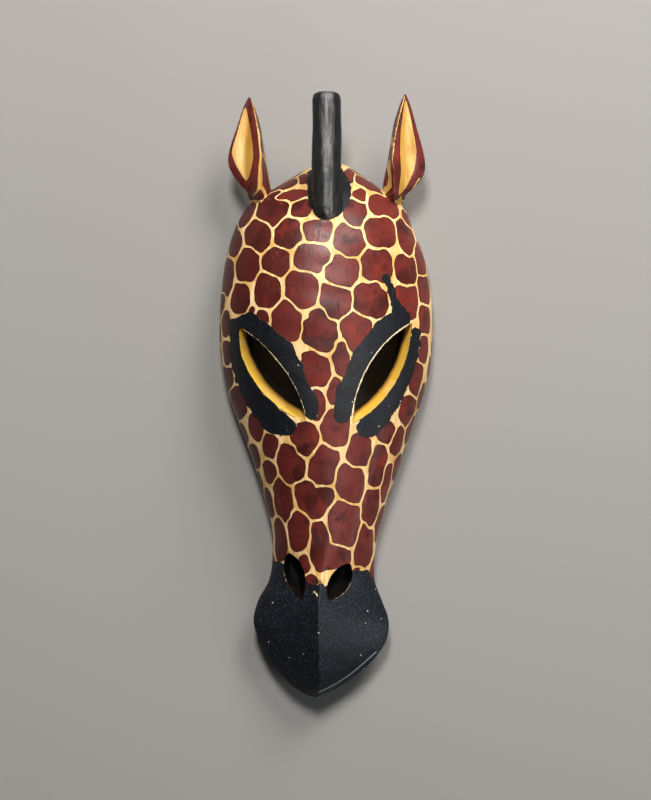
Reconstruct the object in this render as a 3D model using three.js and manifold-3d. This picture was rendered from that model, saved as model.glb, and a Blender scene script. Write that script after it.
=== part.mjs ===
// A carved giraffe mask of one piece of wood, lying face up on the flat rim of its hollow back.
// Millimetres. +Y runs from the muzzle to the horn, +X to the right of the face, +Z out of the face.

import * as THREE from "three";
import { ParametricGeometry } from "three/addons/geometries/ParametricGeometry.js";
import { mergeVertices } from "three/addons/utils/BufferGeometryUtils.js";
import Module from "manifold-3d";

const wasm = await Module();
wasm.setup();

// Plan outline of the head at its widest line: [place along the mask, left edge, right edge].
const OUTLINE = [
  [153.5, 3, 3],
  [151, -7, 13],
  [147, -16, 19.5],
  [141, -26, 28],
  [133, -39, 39],
  [124, -52, 50.5],
  [108, -61, 57.5],
  [86, -67, 66],
  [56, -70.5, 70],
  [28, -70, 69.5],
  [4, -66, 65.5],
  [-20, -58, 57.5],
  [-44, -49, 49.5],
  [-70, -41, 40.5],
  [-93, -36, 34],
  [-112, -36, 31.5],
  [-124, -38.5, 32],
  [-136, -45, 36.5],
  [-150, -48, 41],
  [-164, -43.5, 38.5],
  [-178, -35.5, 28],
  [-190, -25, 13],
  [-197, -15.5, 0.5],
  [-199.5, -9, -9],
];
const CROWN = OUTLINE[0][0];
const TIP = OUTLINE.at(-1)[0];

// Height of the crest above the rim's plane, as seen from the side, below the rounded crown.
const CREST = [
  [CROWN, 60],
  [104, 65.5],
  [60, 68],
  [20, 66],
  [-30, 59],
  [-80, 50],
  [-112, 46.5],
  [-136, 48],
  [-156, 45.5],
  [-178, 38],
  [-192, 29],
  [TIP, 20],
];
const CROWN_ROUNDING = 68;

// The widest line lies above the rim, and the wall below it leans in towards a point inside the muzzle.
const EDGE_HEIGHT = { head: 10, muzzle: 18 };
const RIM_LEAN = { head: 0.04, muzzle: 0.24 };
const LEAN_CENTRE = new THREE.Vector2(-4, -146);
const MUZZLE_RIDGE_X = -5;
const MUZZLE_ROOF = 0.88;
const MUZZLE_BLEND = { from: -92, to: -138 };

// The hollow of the back, with rounded ends. Its cutter reaches a little past the rim's plane.
const WALL = 13;
const CREST_WALL = 15;
const HOLLOW = { top: 128, bottom: -108, squareness: 4, past: 2 };

// Eye slots: the two tips and the pull points of the curved edges between them, as seen from the front, and how far
// the slot leans for each millimetre into the wood.
const LEFT_EYE = {
  tips: [[-56, 43], [-13, -18]],
  outer: [[-60.5, 19], [-38, -10.5]],
  inner: [[-40, 33], [-17, 10]],
  lean: [0.46, 0.28],
};
const RIGHT_EYE = {
  tips: [[54.5, 46.5], [16.5, -19]],
  outer: [[54, 12], [35, -11]],
  inner: [[29, 35], [18, 8]],
  lean: [-0.4, 0.3],
};

const SLOT_CUTTER = { above: 90, below: 12 };

// Nostrils: leaf-shaped pits, gouged towards the head. The taper is [share of the depth, share of the outline].
const LEFT_NOSTRIL = {
  tips: [[-25, -103.5], [-16, -134]],
  outer: [[-32, -113], [-26, -128]],
  inner: [[-14, -107], [-11, -123]],
};
const RIGHT_NOSTRIL = {
  tips: [[15.5, -110.5], [1.5, -133.5]],
  outer: [[19, -117], [16, -132]],
  inner: [[4, -110], [-3, -125]],
};
const NOSTRIL_DEPTH = 15;
const NOSTRIL_RISE = 6;
const NOSTRIL_TAPER = [[-1, 1.3], [0, 1], [0.45, 0.86], [0.8, 0.6], [1, 0.25]];

// The horn: a whittled peg with a chamfered flat end, its lower end standing proud of the forehead.
// Its profile is [share of the radius, distance from that end].
const HORN = { x: 0.1, start: 110, end: 193.8, height: 55, radius: 9.7, tilt: -0.01 };
const HORN_FOOT = [[0, 0], [0.62, 1.2], [0.93, 5], [1, 10]];
const HORN_TOP = [[0.97, 5], [0.86, 1.2], [0.6, 0], [0, 0]];

// Ears: thick leaves. [along, outer edge, ridge, inner edge] in plan, measured outwards from the middle of the head.
const EAR_SECTIONS = [
  [114, 46, 41, 34],
  [122, 49, 43, 34.5],
  [128, 51, 43.5, 35],
  [132, 52.3, 43.7, 35.6],
  [139, 58.5, 43.4, 37],
  [147, 63.5, 42.8, 38.6],
  [154, 64.6, 42.4, 40],
  [164, 62.3, 43, 41.5],
  [175, 58.4, 44.5, 43.2],
  [185, 55, 47.3, 46.2],
  [191, 52.3, 49.3, 48.6],
];
const EAR_TIP = [194, 50.5];
const EAR_ROOT = { from: 130, slope: 1.1, lowest: 4 };
const EAR_TAPER = 1.6;
const EAR_HEIGHT = { ridge: 42, outer: 29, inner: 25, back: 17 };
const EAR_TIP_HEIGHT = 32;
const EAR_SCOOP = { from: 130, to: 188, depth: 2.6 };
const EAR_BORDER = 0.2;
const EAR_BACK = { inner: 0.6, middle: 0.55, outer: 0.93, shoulder: 0.6 };
const EAR_DROOP = { left: 0, right: 5, from: 120, to: 150 };
const TIP_LEAN = { left: { up: 0, out: 0 }, right: { up: 2, out: 1 } };

// How finely the curves are divided.
const FRONT_STEPS = 26;
const WALL_STEPS = 2;
const HEAD_STEPS = 52;
const HOLLOW_STEPS = 26;
const HOLLOW_ARC_STEPS = 20;
const EDGE_STEPS = 12;
const EAR_FRONT_STEPS = 8;
const HORN_SIDES = 14;
const END_CROWDING = 0.6;
const CURVE_HALVINGS = 24;

const mix = THREE.MathUtils.lerp;
const clamp = THREE.MathUtils.clamp;
const smoothstep = THREE.MathUtils.smoothstep;

// A smooth curve through [along, value] points, as a function of the place along the mask.
function through(points) {
  const curve = new THREE.SplineCurve(points.map(([along, value]) => new THREE.Vector2(-along, value)));
  return (along) => {
    let low = 0;
    let high = 1;
    for (let step = 0; step < CURVE_HALVINGS; step += 1) {
      const middle = (low + high) / 2;
      if (curve.getPoint(middle).x < -along) low = middle;
      else high = middle;
    }
    return curve.getPoint(low).y;
  };
}

const leftEdge = through(OUTLINE.map(([along, left]) => [along, left]));
const rightEdge = through(OUTLINE.map(([along, , right]) => [along, right]));
const crestLine = through(CREST);

// The measures of the mask's cross-section at one place along it.
function sectionAt(along) {
  const left = leftEdge(along);
  const right = rightEdge(along);
  const muzzle = smoothstep(-along, -MUZZLE_BLEND.from, -MUZZLE_BLEND.to);
  const edge = mix(EDGE_HEIGHT.head, EDGE_HEIGHT.muzzle, muzzle);
  const rise = clamp((along - CROWN + CROWN_ROUNDING) / CROWN_ROUNDING, 0, 1);
  return {
    left,
    right,
    ridge: clamp(muzzle * MUZZLE_RIDGE_X, left, right),
    edge,
    crest: mix(edge, crestLine(along), Math.sqrt(1 - rise * rise)),
    roof: muzzle * MUZZLE_ROOF,
    lean: mix(RIM_LEAN.head, RIM_LEAN.muzzle, muzzle),
  };
}

// How high the front stands above the widest line, 1 at the crest and 0 at the edge: an arch, or a roof at the muzzle.
function arch(across, roof) {
  const reach = Math.min(Math.abs(across), 1);
  return mix(Math.sqrt(1 - reach * reach), 1 - reach, roof);
}

// The height of the front surface over a place in plan.
function frontHeight(x, along) {
  const { left, right, ridge, edge, crest, roof } = sectionAt(along);
  const across = (x - ridge) / (x < ridge ? ridge - left : right - ridge);
  return mix(edge, crest, arch(across, roof));
}

// The same rings with a last one at each end that is drawn together to its middle, which closes the form.
function withClosedEnds(rings) {
  const drawnTogether = (ring) => {
    const sum = ring.reduce((total, point) => total.add(point), new THREE.Vector3());
    return ring.map(() => sum.clone().divideScalar(ring.length));
  };
  return [drawnTogether(rings[0]), ...rings, drawnTogether(rings.at(-1))];
}

// A solid skinned over rings of points. Its two ends are closed by the rings themselves.
function solidFromRings(rings) {
  const around = rings[0].length;
  const along = rings.length - 1;
  const point = (u, v, target) => {
    const ring = rings[Math.round(v * along)];
    return target.copy(ring[Math.round(u * around) % around]);
  };
  return solidFromGeometry(new ParametricGeometry(point, around, along));
}

// A solid that faces out, whichever way the geometry was wound. Triangles with two equal corners are dropped.
function solidFromGeometry(geometry) {
  geometry.deleteAttribute("normal");
  geometry.deleteAttribute("uv");
  const merged = mergeVertices(geometry, 1e-4);
  const corners = [];
  for (let i = 0; i < merged.index.count; i += 3) {
    const [a, b, c] = [0, 1, 2].map((corner) => merged.index.getX(i + corner));
    if (a !== b && b !== c && c !== a) corners.push(a, b, c);
  }
  const wound = (order) => new wasm.Manifold(new wasm.Mesh({
    numProp: 3,
    vertProperties: merged.attributes.position.array,
    triVerts: new Uint32Array(order),
  }));
  const solid = wound(corners);
  return solid.volume() > 0 ? solid : wound(corners.reverse());
}

// The ring round the mask at one place along it: over the front from left to right, then down to the flat rim and back.
function headRing(along) {
  const { left, right, ridge, edge, crest, roof, lean } = sectionAt(along);
  const ring = [];
  for (let step = 0; step <= FRONT_STEPS; step += 1) {
    const across = Math.sin((step / FRONT_STEPS - 0.5) * Math.PI);
    const x = mix(ridge, across < 0 ? left : right, Math.abs(across));
    ring.push(new THREE.Vector3(x, along, mix(edge, crest, arch(across, roof))));
  }
  const wall = (x, down) => {
    const pull = lean * down * down;
    return new THREE.Vector3(mix(x, LEAN_CENTRE.x, pull), mix(along, LEAN_CENTRE.y, pull), edge * (1 - down));
  };
  for (let step = 1; step <= WALL_STEPS; step += 1) ring.push(wall(right, step / WALL_STEPS));
  for (let step = WALL_STEPS; step >= 1; step -= 1) ring.push(wall(left, step / WALL_STEPS));
  return ring;
}

// Places from one end to the other, closer together towards both ends.
function spreadAlong(from, to, steps) {
  return Array.from({ length: steps + 1 }, (_, step) => {
    const even = step / steps;
    const eased = (1 - Math.cos(even * Math.PI)) / 2;
    return mix(from, to, mix(even, eased, END_CROWDING));
  });
}

// The whole outside of the head and muzzle.
function head() {
  return solidFromRings(spreadAlong(CROWN, TIP, HEAD_STEPS).map(headRing));
}

// What is cut from the back: the outside moved in by the wall, with rounded ends.
function hollow() {
  const centre = (HOLLOW.top + HOLLOW.bottom) / 2;
  const half = (HOLLOW.top - HOLLOW.bottom) / 2;
  const rings = [];
  for (let step = 1; step < HOLLOW_STEPS; step += 1) {
    const end = Math.cos((step / HOLLOW_STEPS) * Math.PI);
    const along = centre + half * end;
    const full = (1 - Math.abs(end) ** HOLLOW.squareness) ** (1 / HOLLOW.squareness);
    const { left, right, ridge, crest } = sectionAt(along);
    const ring = [];
    for (let turn = 0; turn <= HOLLOW_ARC_STEPS; turn += 1) {
      const angle = (turn / HOLLOW_ARC_STEPS) * Math.PI;
      const across = -Math.cos(angle);
      const side = across < 0 ? ridge - left - WALL : right - ridge - WALL;
      const z = (crest - CREST_WALL) * full * Math.sin(angle);
      ring.push(new THREE.Vector3(ridge + across * side * full, along, Math.max(z, 0)));
    }
    const [first, last] = [ring[0], ring.at(-1)];
    ring.push(new THREE.Vector3(last.x, along, -HOLLOW.past), new THREE.Vector3(first.x, along, -HOLLOW.past));
    rings.push(ring);
  }
  return solidFromRings(withClosedEnds(rings));
}

// The points of a leaf outline: one curved edge from tip to tip and the other one back.
function leafOutline({ tips, outer, inner }) {
  const [start, end] = tips;
  const leaf = new THREE.Shape();
  leaf.moveTo(...start);
  leaf.bezierCurveTo(...outer[0], ...outer[1], ...end);
  leaf.bezierCurveTo(...inner[1], ...inner[0], ...start);
  const points = leaf.getPoints(EDGE_STEPS);
  points.pop();
  return points;
}

// An eye slot: the leaf outline on the curved front, carried straight through the wood along a leaning line.
function eyeSlot(eye) {
  const outline = leafOutline(eye);
  const ringAt = (height) => outline.map(({ x, y }) => {
    const depth = frontHeight(x, y) - height;
    return new THREE.Vector3(x + eye.lean[0] * depth, y + eye.lean[1] * depth, height);
  });
  return solidFromRings(withClosedEnds([ringAt(SLOT_CUTTER.above), ringAt(SLOT_CUTTER.below)]));
}

// A nostril: the leaf outline narrowing to a rounded floor.
function nostril(leaf) {
  const outline = leafOutline(leaf);
  const centre = outline.reduce((sum, point) => sum.add(point), new THREE.Vector2()).divideScalar(outline.length);
  const floor = frontHeight(centre.x, centre.y);
  const rings = NOSTRIL_TAPER.map(([down, size]) => outline.map(({ x, y }) => {
    const top = mix(floor, frontHeight(x, y), Math.min(size, 1));
    return new THREE.Vector3(
      mix(centre.x, x, size),
      mix(centre.y, y, size) + NOSTRIL_RISE * Math.max(down, 0),
      top - NOSTRIL_DEPTH * down,
    );
  }));
  return solidFromRings(withClosedEnds(rings));
}

// The horn, turned on its own axis and laid along the mask.
function horn() {
  const { x, start, end, height, radius, tilt } = HORN;
  const foot = HORN_FOOT.map(([share, distance]) => new THREE.Vector2(radius * share, distance));
  const top = HORN_TOP.map(([share, distance]) => new THREE.Vector2(radius * share, end - start - distance));
  const geometry = new THREE.LatheGeometry([...foot, ...top], HORN_SIDES);
  geometry.rotateX(tilt);
  geometry.translate(x, start, height);
  return solidFromGeometry(geometry);
}

// One ear, leaf-shaped in front with a scooped panel, and flat on the side that faces the horn. Its root sinks into
// the head, a droop lets the outer edge hang lower, and a lean carries the tip up and outwards.
function ear(side, droop, lean) {
  const rings = EAR_SECTIONS.map(([along, outer, ridge, inner]) => {
    const slender = clamp((along - EAR_ROOT.from) / (EAR_TIP[0] - EAR_ROOT.from), 0, 1) ** EAR_TAPER;
    const sink = Math.max(EAR_ROOT.from - along, 0) * EAR_ROOT.slope;
    const height = (name) => Math.max(mix(EAR_HEIGHT[name], EAR_TIP_HEIGHT, slender) - sink, EAR_ROOT.lowest);
    const hang = droop * smoothstep(along, EAR_DROOP.from, EAR_DROOP.to) * (1 - slender);
    const at = (x, z) => {
      const outwards = clamp((x - ridge) / (outer - ridge), 0, 1);
      return new THREE.Vector3(side * (x + lean.out * slender), along + lean.up * slender - hang * outwards, z);
    };
    const panelPlace = clamp((along - EAR_SCOOP.from) / (EAR_SCOOP.to - EAR_SCOOP.from), 0, 1);
    const scoop = EAR_SCOOP.depth * Math.sin(Math.PI * panelPlace);
    const front = Array.from({ length: EAR_FRONT_STEPS + 1 }, (_, step) => {
      const across = step / EAR_FRONT_STEPS;
      const dip = scoop * Math.sin(Math.PI * smoothstep(across, EAR_BORDER, 1 - EAR_BORDER));
      return at(mix(outer, ridge, across), mix(height("outer"), height("ridge"), across) - dip);
    });
    return [
      ...front,
      at(inner, height("inner")),
      at(mix(inner, ridge, EAR_BACK.inner), height("back")),
      at(mix(ridge, outer, EAR_BACK.middle), height("back")),
      at(mix(ridge, outer, EAR_BACK.outer), mix(height("back"), height("outer"), EAR_BACK.shoulder)),
    ];
  });
  const tip = new THREE.Vector3(side * (EAR_TIP[1] + lean.out), EAR_TIP[0] + lean.up, EAR_TIP_HEIGHT);
  rings.push(rings[0].map(() => tip));
  return solidFromRings(withClosedEnds(rings));
}

// A three.js geometry from a solid.
function geometryFromSolid(solid) {
  const { vertProperties, triVerts } = solid.getMesh();
  const geometry = new THREE.BufferGeometry();
  geometry.setAttribute("position", new THREE.BufferAttribute(vertProperties, 3));
  geometry.setIndex(new THREE.BufferAttribute(triVerts, 1));
  return geometry;
}

// The finished mask, centred in plan and standing on its rim.
function mask() {
  const carved = head()
    .add(horn())
    .add(ear(-1, EAR_DROOP.left, TIP_LEAN.left))
    .add(ear(1, EAR_DROOP.right, TIP_LEAN.right))
    .subtract(hollow())
    .subtract(eyeSlot(LEFT_EYE))
    .subtract(eyeSlot(RIGHT_EYE))
    .subtract(nostril(LEFT_NOSTRIL))
    .subtract(nostril(RIGHT_NOSTRIL));
  const geometry = geometryFromSolid(carved);
  geometry.computeBoundingBox();
  const box = geometry.boundingBox;
  const middle = box.getCenter(new THREE.Vector3());
  geometry.translate(-middle.x, -middle.y, -box.min.z);
  const paintedWood = new THREE.MeshStandardMaterial({ color: 0x5e2323, roughness: 0.45, metalness: 0 });
  const mesh = new THREE.Mesh(geometry, paintedWood);
  mesh.name = "mask";
  return mesh;
}

const group = new THREE.Group();
group.add(mask());

export default group;
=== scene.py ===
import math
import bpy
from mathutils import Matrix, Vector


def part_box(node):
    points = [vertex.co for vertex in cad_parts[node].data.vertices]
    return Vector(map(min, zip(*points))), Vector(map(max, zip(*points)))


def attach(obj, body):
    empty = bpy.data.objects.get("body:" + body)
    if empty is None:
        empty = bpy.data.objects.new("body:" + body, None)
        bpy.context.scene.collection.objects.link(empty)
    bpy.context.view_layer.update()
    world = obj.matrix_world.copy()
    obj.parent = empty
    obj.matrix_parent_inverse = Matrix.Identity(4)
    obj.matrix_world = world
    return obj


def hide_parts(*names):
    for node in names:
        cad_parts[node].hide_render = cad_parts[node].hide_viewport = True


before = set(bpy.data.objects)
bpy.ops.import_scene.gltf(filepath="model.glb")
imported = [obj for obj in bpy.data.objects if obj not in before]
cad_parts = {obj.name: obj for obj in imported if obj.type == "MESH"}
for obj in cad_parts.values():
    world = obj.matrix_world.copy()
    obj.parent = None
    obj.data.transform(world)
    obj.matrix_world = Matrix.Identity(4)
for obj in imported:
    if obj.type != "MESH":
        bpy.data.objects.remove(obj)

# A carved and painted giraffe mask of one piece of wood, lying face up on its flat rim.
# The carving is worked out in millimetres in the carver's own frame, which the sizes below use, and is then
# moved to the frame's place and into metres. Paint is laid by signed distances kept on the vertices.

from types import SimpleNamespace

import bmesh
import bpy
import numpy as np
from mathutils import Matrix, Vector
from mathutils.kdtree import KDTree

MM = 0.001

# Plan outline of the head at its widest line: [place along the mask, left edge, right edge].
OUTLINE = [
    [153.5, 3, 3], [151, -7, 13], [147, -16, 19.5], [141, -26, 28], [133, -39, 39],
    [124, -52, 50.5], [108, -61, 57.5], [86, -67, 66], [56, -70.5, 70], [28, -70, 69.5],
    [4, -66, 65.5], [-20, -58, 57.5], [-44, -49, 49.5], [-70, -41, 40.5], [-93, -36, 34],
    [-112, -36, 31.5], [-124, -38.5, 32], [-136, -45, 36.5], [-150, -48, 41], [-164, -43.5, 38.5],
    [-178, -35.5, 28], [-190, -25, 13], [-197, -15.5, 0.5], [-199.5, -9, -9],
]
CROWN = OUTLINE[0][0]
TIP = OUTLINE[-1][0]

# Height of the crest above the rim's plane, as seen from the side, below the rounded crown.
CREST = [
    [CROWN, 60], [104, 65.5], [60, 68], [20, 66], [-30, 59], [-80, 50], [-112, 46.5], [-136, 48],
    [-156, 45.5], [-178, 38], [-192, 29], [TIP, 20],
]
CROWN_ROUNDING = 68

# The widest line lies above the rim, and the wall below it leans in towards a point inside the muzzle.
EDGE_HEIGHT = {"head": 10, "muzzle": 18}
RIM_LEAN = {"head": 0.04, "muzzle": 0.24}
LEAN_CENTRE = (-4, -146)
MUZZLE_RIDGE_X = -5
MUZZLE_ROOF = 0.88
MUZZLE_BLEND = {"from": -92, "to": -138}

# The hollow of the back. Its cutter reaches a little past the rim's plane.
WALL = 13
CREST_WALL = 15
HOLLOW = {"top": 128, "bottom": -108, "squareness": 4, "past": 2}

# The gouge's marks in the hollow, from this height above the rim's plane. They sway over the wandering
# wavelength, and their staggered strokes start shallower. A mark of this level leaves the wall in place.
GOUGE = {"depth": 0.7, "wide": 9, "long": 26, "wander": 60, "sway": 1.3, "stagger": 25, "above": 0.5}
GOUGE_START = {"shallower": 0.3, "level": 0.9}

# Eye slots: the two tips and the pull points of the curved edges between them, as seen from the front,
# and how far the slot leans for each millimetre into the wood. The knife leaves small waves on the walls.
LEFT_EYE = {
    "tips": [[-56, 43], [-13, -18]],
    "outer": [[-60.5, 19], [-38, -10.5]],
    "inner": [[-40, 33], [-17, 10]],
    "lean": [0.46, 0.28],
}
RIGHT_EYE = {
    "tips": [[55.2, 45.4], [16.5, -19]],
    "outer": [[54, 12], [35, -11]],
    "inner": [[32.5, 33.5], [18, 8]],
    "lean": [-0.4, 0.3],
}
SLOT_CUTTER = {"above": 90, "below": 12}
KNIFE_WAVE = {"depth": 0.22, "wavelength": 9}

# Nostrils: leaf-shaped pits, gouged towards the head. The taper is [share of the depth, of the outline].
LEFT_NOSTRIL = {
    "tips": [[-25, -103.5], [-16, -134]],
    "outer": [[-32, -113], [-26, -128]],
    "inner": [[-14, -107], [-11, -123]],
}
RIGHT_NOSTRIL = {
    "tips": [[15.5, -110.5], [1.5, -133.5]],
    "outer": [[19, -117], [16, -132]],
    "inner": [[4, -110], [-3, -125]],
}
NOSTRIL_DEPTH = 15
NOSTRIL_RISE = 6
NOSTRIL_TAPER = [[-1, 1.3], [0, 1], [0.45, 0.86], [0.8, 0.6], [1, 0.25]]

# The horn: a whittled peg with two lengths of knife facets, which meet in a wavy step. Its profile is
# [distance from its foot, share of the radius].
HORN = {"x": 0.1, "start": 110, "end": 193.8, "height": 55, "radius": 9.7, "tilt": -0.01}
HORN_LENGTH = HORN["end"] - HORN["start"]
HORN_PROFILE = [
    [0, 0], [0.3, 0.5], [1.2, 0.66], [5, 0.93], [10, 1], [HORN_LENGTH - 5, 0.97],
    [HORN_LENGTH - 1.4, 0.88], [HORN_LENGTH - 0.2, 0.6], [HORN_LENGTH, 0],
]
HORN_FACETS = {"lower": 9, "upper": 11, "flatness": 0.6}
FACET_TURN = {"lower": 0.35, "upper": 0.1}
HORN_STEP = {"at": 40, "wave": 3, "width": 2}
HORN_WAVE = {"share": 0.014, "wavelength": 24, "round": 12}

# Ears: thick leaves. [along, outer edge, ridge, inner edge] in plan, outwards from the middle of the head.
EAR_SECTIONS = [
    [114, 46, 41, 34], [122, 49, 43, 34.5], [128, 51, 43.5, 35], [132, 52.3, 43.7, 35.6],
    [139, 58.5, 43.4, 37], [147, 63.5, 42.8, 38.6], [154, 64.6, 42.4, 40], [164, 62.3, 43, 41.5],
    [175, 58.4, 44.5, 43.2], [185, 55, 47.3, 46.2], [191, 52.3, 49.3, 48.6],
    [194, 50.5, 50.5, 50.5],
]
EAR_ROOT = {"from": 130, "slope": 1.1, "lowest": 4}
EAR_TIP = EAR_SECTIONS[-1][0]
EAR_TIP_HEIGHT = 32
EAR_TAPER = 1.6
EAR_HEIGHT = {"ridge": 42, "outer": 29, "inner": 25, "back": 17}
EAR_SCOOP = {"from": 130, "to": 188, "depth": 2.6}
EAR_BORDER = 0.2
EAR_BACK = {"inner": 0.6, "middle": 0.55, "outer": 0.93, "shoulder": 0.6}
EAR_DROOP = {"left": 0, "right": 5, "from": 120, "to": 150}
TIP_LEAN = {"left": {"up": 0, "out": 0}, "right": {"up": 2, "out": 1}}

# How finely the carving is divided, and how much closer the rings lie at the ends of head and ears.
HEAD_STEPS = 330
FRONT_STEPS = 180
WALL_STEPS = 6
BACK_STEPS = 3
HOLLOW_STEPS = 96
HOLLOW_ARC_STEPS = 64
SLOT_STEPS = 28
LEAF_STEPS = 40
NOSTRIL_STEPS = 18
HORN_STEPS = 76
HORN_SIDES = 66
EAR_STEPS = 90
EAR_SIDE_STEPS = [30, 18, 7, 7, 7, 5]
UNROLLING_STEPS = 12
CREST_STEPS = 600
END_CROWDING = 0.6

# Faint waves, which grow from the widest line to the crest, where that is at least this much higher, and how
# the wavelengths in a ripple differ.
FRONT_WAVE = {"depth": 0.22, "wavelength": 21, "full_from": 5}
WAVE_SPREAD = (0.7, 1.5)

# Vertices nearer to each other than this become one, shorter edges go, and nothing smaller is divided by.
SAME_PLACE = 1e-3
NO_LENGTH = 1e-4
TINY = 1e-6

# Faces below this height are the rim. Where edges look sharp, how worn they are, and how the inner corners
# beside the horn and the ears are filled.
RIM_LEVEL = 0.05
SHARP_ANGLE = math.radians(33)
WEAR = {"angle": math.radians(28), "reach": 3.0, "strength": 0.45, "passes": 3}
JOINTS = {"horn": {"reach": 5.5, "passes": 18}, "ear": {"reach": 6, "passes": 20}}
JOINT_STRENGTH = 0.5

# The regions of the carving, which keep their own finishes through the cutting.
REGIONS = ["face", "horn", "ear", "hollow", "eye_wall", "nostril", "rim"]

# The photograph's frame in pixels, where its camera stands over the mask in millimetres, and how the place
# on the front behind a pixel is found: the height tried first and the number of tries.
PHOTO = {"width": 651, "height": 800}
MM_PER_PIXEL = 0.661
PHOTO_PLANE = 12
CAMERA = {"x": -0.66, "along": -3.97, "height": 1500}
SENSOR = 36
FIRST_HEIGHT = 45
TRIES = 8

# The floor in metres, and the lights: [name, direction from the mask, distance, size, watts, colour, whether
# it shows only in the gloss].
FLOOR_REACH = 4
FLOOR_LEVEL = -0.0002
LIGHTS = [
    ["key", (0.38, 0.72, 0.59), 1.6, (0.6, 0.6), 24, (1.0, 0.96, 0.9), False],
    ["crown_light", (-0.06, 0.6, 1.0), 1.7, (0.3, 0.5), 28, (1.0, 0.98, 0.96), False],
    ["window", (0.85, -0.4, 0.31), 1.3, (0.7, 0.24), 4.6, (0.9, 0.95, 1.0), False],
    ["sheen", (0.05, 0.5, 1.0), 1.8, (1.25, 1.2), 66, (1.0, 0.98, 0.97), True],
    ["low_sheen", (0.45, -0.3, 1.0), 1.8, (1.5, 1.2), 22, (1.0, 0.98, 0.97), True],
]
ROOM_LIGHT = {"Color": (0.9, 0.95, 1.0, 1), "Strength": 0.07}

# The spots as painted, [x, y, width, height, turn], in pixels of the photograph and degrees anticlockwise.
# Further pairs of values give notches: the direction in degrees clockwise from the top, and the depth as a
# share of the spot.
CROWN_SPOTS = [
    [285.5, 186, 22, 9, 14], [304, 179, 13, 10, 20], [288.5, 197, 39, 11, 10],
    [301, 208.5, 22, 18, 0], [272.8, 208, 30, 35, -10, 40, 0.42], [247.5, 212, 12, 25, -22],
    [349.5, 175.5, 13, 13, -20], [368, 184.5, 31, 10.5, -24], [360, 196, 13, 14, -12],
    [355, 212.5, 21.5, 26, -12, 310, 0.1], [382.5, 207, 28, 20.5, -12, 20, 0.1],
    [406.5, 218, 8, 20, 24],
]
FOREHEAD_SPOTS = [
    [236, 240, 11.5, 27, -22], [258.5, 234.5, 25.5, 32, 0, 215, 0.12],
    [287.5, 233.5, 26.5, 30.5, -14, 315, 0.1], [317, 231.5, 29.5, 22.5, 0],
    [348.7, 240, 28, 35, 24, 18, 0.22, 225, 0.06], [380, 232, 29.5, 31.5, 12],
    [405.5, 236.5, 15.5, 35, 14], [228.5, 276, 10.5, 35, -8], [248.3, 264.5, 23, 34, 0, 35, 0.14],
    [276, 261, 28, 30.5, 10, 20, 0.14], [313, 258, 37, 29.5, 0, 350, 0.12, 128, 0.2],
    [341, 270.5, 33.5, 35, 16, 22, 0.26, 310, 0.08], [376.5, 265, 31, 34, 6, 6, 0.12],
    [406, 269, 21, 32.5, 12, 20, 0.14, 235, 0.08], [419.7, 260, 9.5, 31, 14],
    [240.7, 298.5, 18.5, 31, 0, 10, 0.08], [267.7, 290.5, 25, 36, 2, 20, 0.1],
    [301.5, 289.5, 33, 39, 4, 350, 0.14, 225, 0.12],
    [335, 300.5, 31, 39, 2, 22, 0.18, 150, 0.12, 215, 0.12],
    [370.5, 299.5, 33, 37.5, 0, 42, 0.34, 150, 0.08, 225, 0.06], [406, 301, 24, 35, 2, 20, 0.2],
    [423.4, 289, 11.5, 30, 2],
]
EYE_LEVEL_SPOTS = [
    [252, 309, 8, 9, 0], [263, 319, 13, 17, 0], [287.3, 321, 30.5, 40, 2, 232, 0.2, 20, 0.06],
    [320, 330.5, 36, 42, 4, 36, 0.34, 316, 0.3, 212, 0.2, 130, 0.14],
    [356, 330.5, 29, 39, 4, 225, 0.14, 30, 0.06], [424.5, 319, 10.5, 31, 2],
    [423.3, 348.5, 9, 28, -8], [315.5, 369, 30, 37, 2, 18, 0.18, 225, 0.1],
    [341.5, 359, 16.5, 34, 0], [416, 378.5, 12.5, 32, -14], [335, 392, 15, 29, -4],
    [315, 405, 20.5, 31, 4], [407.5, 410.5, 14.5, 30, -14], [226, 324, 8, 26, 0],
    [226.7, 353, 7.5, 26, 4], [228.8, 379, 9, 26, 10], [238.7, 402, 14, 33, 14],
    [221, 303, 8, 22, 0], [218, 335, 6, 28, 0], [432, 369, 8, 30, -6], [422.5, 397, 8, 28, -12],
]
CHEEK_SPOTS = [
    [335, 428, 28.5, 35, 0], [304.5, 439, 27, 34, -4, 228, 0.12, 320, 0.06],
    [270.5, 446, 16, 25, -4, 0, 0.1], [255.7, 427, 13.5, 28, 8], [243.8, 434.5, 7, 23, 16],
    [255.8, 456.5, 8, 25, 16], [385.5, 432.5, 17, 23, -34], [397, 441.5, 11, 28, -18],
    [358.5, 451, 24, 33, -4, 225, 0.08], [377.7, 466, 17, 41, -8],
    [291, 463.5, 27.5, 41, 10, 40, 0.16], [323.5, 465, 29, 41, -10, 25, 0.16],
    [270.3, 472, 12, 24, 4], [349.8, 483.5, 27.5, 41, 4, 14, 0.2, 235, 0.1],
    [386, 482.5, 8, 38, -8], [396.5, 467, 6.5, 26, -18], [260, 484, 6, 26, 18],
    [410, 430, 8, 28, -18],
]
NOSE_SPOTS = [
    [283.7, 499.5, 18.5, 45, 6, 22, 0.22], [370, 506.5, 17, 35.5, -4, 10, 0.08],
    [344, 523, 30.5, 47, 4, 14, 0.14, 222, 0.14], [299, 530.5, 22.5, 39.5, 2],
    [281, 540, 11.5, 42, 6], [269.5, 503, 7, 28, 12], [379.5, 524, 6.5, 34, -8],
    [364, 546.5, 17, 41, 2, 10, 0.26], [304.5, 565, 11, 22, 12], [358, 569, 9, 6, 20],
    [311.5, 579, 16, 11, -20],
]
JOINED_SPOTS = [
    [[321, 546, 20, 49, 6], [334.5, 556.5, 31, 25, -14]],
    [[308, 499.5, 22, 39, 20], [320.5, 502.5, 21, 35, -24]],
]

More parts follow.
